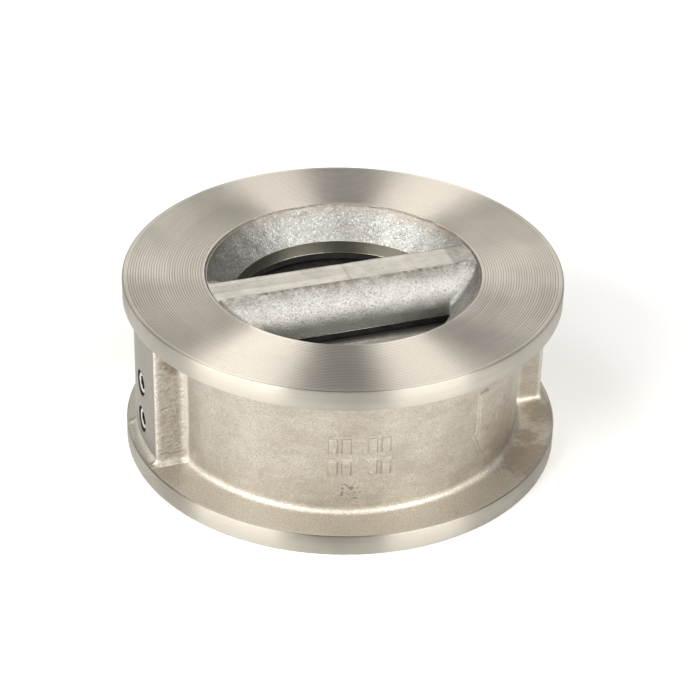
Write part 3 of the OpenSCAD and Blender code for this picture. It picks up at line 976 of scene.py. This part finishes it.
def half_plate(name, turned_round):
    """A half disc with two hinge lugs and two stop pads on its back."""
    steps = 120
    rim = [(PLATE_R * cos(a), PLATE_R * sin(a)) for a in
           (pi + pi * k / steps for k in range(steps + 1)) if PLATE_R * sin(a) <= -PLATE_EDGE_Y - 0.01]
    reach = sqrt(PLATE_R ** 2 - PLATE_EDGE_Y ** 2)
    outline = [(-reach, -PLATE_EDGE_Y)] + rim + [(reach, -PLATE_EDGE_Y)]
    plate = prism(name, outline, PLATE_BACK_Z, PLATE_TOP_Z, PLATE)
    parts = []
    inside = PLATE_BACK_Z + OVERLAP
    for x0 in (-LUG_OUT_X - LUG_W, LUG_IN_X):
        parts.append(turned_x("lug", [(x0, 0), (x0, LUG_R), (x0 + LUG_W, LUG_R), (x0 + LUG_W, 0)],
                              HINGE_Z, PLATE, sides=64, soft=0))
        gusset = [(-PLATE_EDGE_Y, inside), (-10, inside), (-3.5, HINGE_Z - 3), (0, HINGE_Z)]
        parts.append(prism("gusset", gusset, x0, x0 + LUG_W, PLATE, place=lambda u, v, w: (w, u, v)))
    for x in (-PAD_X, PAD_X):
        outline = rectangle(x - PAD_W / 2, x + PAD_W / 2, -STOP_DROP - PAD_W / 2, -STOP_DROP + PAD_W / 2)
        parts.append(prism("stop_pad", outline, PLATE_BACK_Z - PAD_H, inside, PLATE))
    boolean(plate, "UNION", *parts)
    hole_r = PIN_R + PIN_PLAY
    hole = turned_x("hole", [(-PLATE_R, 0), (-PLATE_R, hole_r), (PLATE_R, hole_r), (PLATE_R, 0)],
                    HINGE_Z, PLATE, sides=64, soft=0)
    boolean(plate, "DIFFERENCE", hole)
    bevel = plate.modifiers.new("edges", "BEVEL")
    bevel.width = PLATE_BEVEL * MM
    bevel.segments = 2
    bevel.limit_method = "ANGLE"
    bevel.angle_limit = radians(38)
    bake(plate)
    if turned_round:
        plate.data.transform(Matrix.Rotation(pi, 4, "Z"))
    plate.data.shade_smooth()
    plate.data.set_sharp_from_angle(angle=radians(28))
    return plate


def wire_piece(name, path):
    """A round wire along a path in mm, with domed ends."""
    shell = Shell()
    path = [Vector(p) for p in path]
    last = len(path) - 1
    rings = []
    for i, p in enumerate(path):
        along = (path[min(i + 1, last)] - path[max(i - 1, 0)]).normalized()
        across = along.cross(Vector((1, 0, 0))).normalized()
        third = along.cross(across)
        radii = [(WIRE_R, 0.0)]
        if i == 0:
            radii = [(WIRE_R * 0.55, 0.0), (WIRE_R * 0.9, 0.12), (WIRE_R, 0.35)]
        if i == last:
            radii = [(WIRE_R, -0.35), (WIRE_R * 0.9, -0.12), (WIRE_R * 0.55, 0.0)]
        for r, shift in radii:
            rings.append(shell.ring([p + along * shift + (across * c + third * d) * r
                                     for c, d in unit_circle(12)]))
    shell.tube(rings)
    shell.cap([rings[0]])
    shell.cap([rings[-1]])
    return shell.piece(name, [WIRE], sharp=60)


def spring_halves(side):
    """A torsion spring in two halves, one for each plate it pushes, that meet in mid-coil."""
    start = -COIL_FROM_X + WIRE_R
    pitch = (COIL_FROM_X - COIL_TO_X - 2 * WIRE_R) / SPRING_TURNS
    per_turn = 24
    middle = SPRING_TURNS * per_turn // 2
    coil = []
    for i in range(SPRING_TURNS * per_turn + 1):
        a = pi / 2 - 2 * pi * i / per_turn
        coil.append((start + pitch * i / per_turn, COIL_R * cos(a), HINGE_Z + COIL_R * sin(a)))
    top = HINGE_Z + COIL_R
    end = start + pitch * SPRING_TURNS
    leg = (LEG_L, LEG_L / 2, LEG_FROM_Y)
    near = [(start, -y, top) for y in leg] + coil[:middle + 1]
    far = coil[middle:] + [(end, y, top) for y in reversed(leg)]
    near_body, far_body, flip = "front_plate", "rear_plate", 1
    if side == "right":
        near, far = ([(-x, -y, z) for x, y, z in half] for half in (near, far))
        near_body, far_body, flip = "rear_plate", "front_plate", -1
    inset = 1.2
    halves = ((near, "outer", near_body, start + inset), (far, "inner", far_body, end - inset))
    for path, tag, body, x_end in halves:
        half = wire_piece(f"torsion_spring_{side}_{tag}", path)
        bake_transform(half)
        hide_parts(f"torsion_spring_{side}")


def tube_on_hinge(name, r_out, x0, x1, soft=0.12):
    """A PTFE tube round the hinge pin."""
    r_in = PIN_R + PIN_PLAY
    outline = [(x0, r_in), (x0, r_out), (x1, r_out), (x1, r_in)]
    return turned_x(name, outline, HINGE_Z, PTFE, soft=soft)


def hinge_set():
    """The sleeves, washers and bushes on the hinge pin, left and right."""
    bush_x = sqrt(CHAMBER_R ** 2 - BUSH_R ** 2) - 0.05

    def put(piece, node):
        settle(piece, "valve_body", "bearing_ptfe", node)

    for side, s in SIDES:
        sleeve = sorted((s * COIL_FROM_X, s * COIL_TO_X))
        put(tube_on_hinge(f"spring_sleeve_{side}_ptfe", COIL_R - WIRE_R - SIDE_PLAY, *sleeve),
            f"spring_sleeve_{side}")
        for tag, x in (("outer", COIL_FROM_X + SIDE_PLAY), ("inner", COIL_TO_X - SIDE_PLAY - WASHER_T)):
            ends = sorted((s * x, s * (x + WASHER_T)))
            put(tube_on_hinge(f"spring_washer_{side}_{tag}", WASHER_R, *ends), f"spring_washers_{side}")
        bush = sorted((s * bush_x, s * (LUG_OUT_X + LUG_W + SIDE_PLAY)))
        put(tube_on_hinge(f"body_lug_bush_{side}", BUSH_R, *bush, soft=0.3), f"body_lug_bearing_{side}")
    middle = tube_on_hinge("plate_lug_washer_ptfe", WASHER_R, -WASHER_T / 2, WASHER_T / 2)
    put(middle, "plate_lug_washer")


def plug(name, s, z):
    """A plug with crests for its thread, a hexagon socket and a cupped face. s is its side, -1 or 1."""
    profile = [(PLUG_FROM_X, 0.0), (PLUG_FROM_X, PLUG_R - 0.45), (PLUG_FROM_X + 0.4, PLUG_R - 0.06)]
    x = PLUG_FROM_X + 1.0
    while x + CREST_PITCH < PLUG_END_X - 0.5:
        profile += [(x, PLUG_R - 0.06), (x + 0.55, PLUG_R - 0.55), (x + 0.7, PLUG_R - 0.55)]
        x += CREST_PITCH
    profile += [(PLUG_END_X - 0.9, PLUG_R - 0.10), (PLUG_END_X - 0.1, PLUG_R - 0.75),
                (PLUG_END_X, PLUG_R - 0.95), (PLUG_END_X - 0.1, 2.6), (PLUG_END_X - 0.5, 0.0)]
    body = turned_x(name, [(s * a, r) for a, r in profile], z, PLUG, sides=48, soft=0.05)
    turns = [pi / 6 + pi / 3 * k for k in range(6)]
    corners = [(SOCKET_R * cos(a), z + SOCKET_R * sin(a)) for a in turns]
    ends = sorted((s * (PLUG_END_X - SOCKET_DEPTH), s * (PLUG_END_X + 1)))
    socket = prism("socket", corners, ends[0], ends[1], SOILED, place=lambda u, v, w: (w, u, v))
    boolean(body, "DIFFERENCE", socket)
    body.data.set_sharp_from_angle(angle=radians(30))
    return body


def pins_and_plugs():
    """Both pins through the waist, with a plug and a sealing disc at each end."""
    near, far = SHOULDER_X + 0.05, SHOULDER_X + 0.95
    for kind, z in (("hinge", HINGE_Z), ("stop", STOP_Z)):
        half = [(PIN_HALF - PIN_CHAMFER, PIN_R), (PIN_HALF, PIN_R - PIN_CHAMFER), (PIN_HALF, 0.0)]
        whole = [(-x, r) for x, r in reversed(half)] + half
        settle(turned_x(f"{kind}_pin_ground", whole, z, PIN), "valve_body", "pin_steel", f"{kind}_pin")
        for side, s in SIDES:
            settle(plug(f"{kind}_plug_{side}_threaded", s, z), "valve_body", "plug_steel",
                   f"{kind}_plug_{side}")
            disc = [(s * near, 0.0), (s * near, PLUG_R - 0.1), (s * far, PLUG_R - 0.1), (s * far, 0.0)]
            settle(turned_x(f"{kind}_gasket_{side}_disc", disc, z, GASKET, sides=48), "valve_body",
                   "gasket_ptfe", f"{kind}_gasket_{side}")


# ------------ build the valve

body_piece = casting()
boolean(body_piece, "DIFFERENCE", pin_hole_cutter(HINGE_Z), pin_hole_cutter(STOP_Z))
body_piece.data.set_sharp_from_angle(angle=radians(32))
settle(body_piece, "valve_body", "cast_stainless", "body")
settle(flow_arrow(), "valve_body", "cast_stainless")
for pad in mark_pads():
    settle(pad, "valve_body", "cast_stainless")
settle(seat_ring(), "valve_body", "seat_rubber", "seat_seal")
settle(half_plate("front_half_plate", False), "front_plate", "plate_steel", "plate_front")
settle(half_plate("rear_half_plate", True), "rear_plate", "plate_steel", "plate_rear")
for side_name in ("left", "right"):
    spring_halves(side_name)
hinge_set()
pins_and_plugs()


# ------------ studio

VIEW_AZIMUTH = radians(-19.0)  # the camera stands this far round from -Y
VIEW_ELEVATION = radians(32.29)
VIEW_DISTANCE = 0.7268
VIEW_TARGET = Vector((0, 0, 0.030))
VIEW_LENS = 120.7
VIEW_PAN, VIEW_TILT, VIEW_ROLL = radians(0.204), radians(-0.097), radians(1.17)


def turned_to_view(x, y, z):
    """A point given with -Y towards the camera, in the valve's frame."""
    return Matrix.Rotation(VIEW_AZIMUTH, 3, "Z") @ Vector((x, y, z))


def turn_pair(a, b, angle):
    """Two square directions, turned by angle in their plane, a towards b."""
    return a * cos(angle) + b * sin(angle), b * cos(angle) - a * sin(angle)


def camera():
    """The photo's camera, aimed at the valve and then panned, tilted and rolled a little."""
    data = bpy.data.cameras.new("studio_camera")
    data.lens = VIEW_LENS
    data.sensor_width = 36.0
    obj = placed("studio_camera", data)
    forward = turned_to_view(0, cos(VIEW_ELEVATION), -sin(VIEW_ELEVATION))
    right = turned_to_view(1, 0, 0)
    up = right.cross(forward)
    forward, up = turn_pair(forward, up, VIEW_TILT)
    forward, right = turn_pair(forward, right, VIEW_PAN)
    right, up = turn_pair(right, up, VIEW_ROLL)
    turn = Matrix((right, up, -forward)).transposed().to_4x4()
    back = turned_to_view(0, -cos(VIEW_ELEVATION), sin(VIEW_ELEVATION)) * VIEW_DISTANCE
    obj.matrix_world = Matrix.Translation(VIEW_TARGET + back) @ turn
    bpy.context.scene.camera = obj


# name, degrees round from the camera (anticlockwise from above), elevation in degrees, width and
# height in metres, brightness
SOFTBOXES = [
    ("left_box", -52, 35, 0.72, 0.36, 9.6),
    ("left_low", -50, 10, 0.76, 0.36, 2.4),
    ("left_top", -73, 60, 0.80, 0.36, 2.5),
    ("left_back", -112, 10, 0.33, 0.36, 0.8),
    ("right_box", 46, 35, 0.60, 0.36, 8.2),
    ("right_low", 43, 10, 0.62, 0.36, 2.4),
    ("right_top", 67, 60, 0.66, 0.36, 2.4),
    ("back", 180, 35, 0.60, 0.36, 1.75),
]
SOFTBOX_DISTANCE = 0.9
SOFTBOX_TINT = (1.0, 0.98, 0.95)
FILL_TINT = (1.0, 0.985, 0.96, 1.0)
FILL_STRENGTH = 0.20
FLOOR_HALF = 4.0
FLOOR_Z = -0.0002


def softbox(name, azimuth, elevation, width, height, brightness):
    """A rectangular light aimed at the valve."""
    data = bpy.data.lights.new(name, "AREA")
    data.shape = "RECTANGLE"
    data.size = width
    data.size_y = height
    data.energy = brightness * pi * width * height
    data.color = SOFTBOX_TINT
    obj = placed(name, data)
    a, e = radians(azimuth), radians(elevation)
    away = turned_to_view(sin(a) * cos(e), -cos(a) * cos(e), sin(e))
    obj.location = VIEW_TARGET + away * SOFTBOX_DISTANCE
    obj.rotation_euler = away.to_track_quat("Z", "Y").to_euler()


def studio_world():
    """Soft fill light, and plain white where the camera sees past the floor."""
    world = bpy.data.worlds.new("studio_world")
    bpy.context.scene.world = world
    world.use_nodes = True
    tree = world.node_tree
    seen = tree.nodes["Background"]
    seen.inputs["Color"].default_value = WHITE
    fill = tree.nodes.new("ShaderNodeBackground")
    fill.inputs["Color"].default_value = FILL_TINT
    fill.inputs["Strength"].default_value = FILL_STRENGTH
    rays = tree.nodes.new("ShaderNodeLightPath")
    either = tree.nodes.new("ShaderNodeMixShader")
    tree.links.new(rays.outputs["Is Camera Ray"], either.inputs[0])
    tree.links.new(fill.outputs[0], either.inputs[1])
    tree.links.new(seen.outputs[0], either.inputs[2])
    tree.links.new(either.outputs[0], tree.nodes["World Output"].inputs["Surface"])


def studio():
    studio_world()
    mesh = bpy.data.meshes.new("studio_floor")
    corners = [(x * FLOOR_HALF, y * FLOOR_HALF, 0) for x, y in ((-1, -1), (1, -1), (1, 1), (-1, 1))]
    mesh.from_pydata(corners, [], [(0, 1, 2, 3)])
    mesh.materials.append(studio_floor("studio_floor_paper"))
    floor = placed("studio_floor", mesh)
    floor.location.z = FLOOR_Z
    for box in SOFTBOXES:
        softbox(*box)


camera()
studio()
bpy.context.scene.view_settings.view_transform = "Standard"
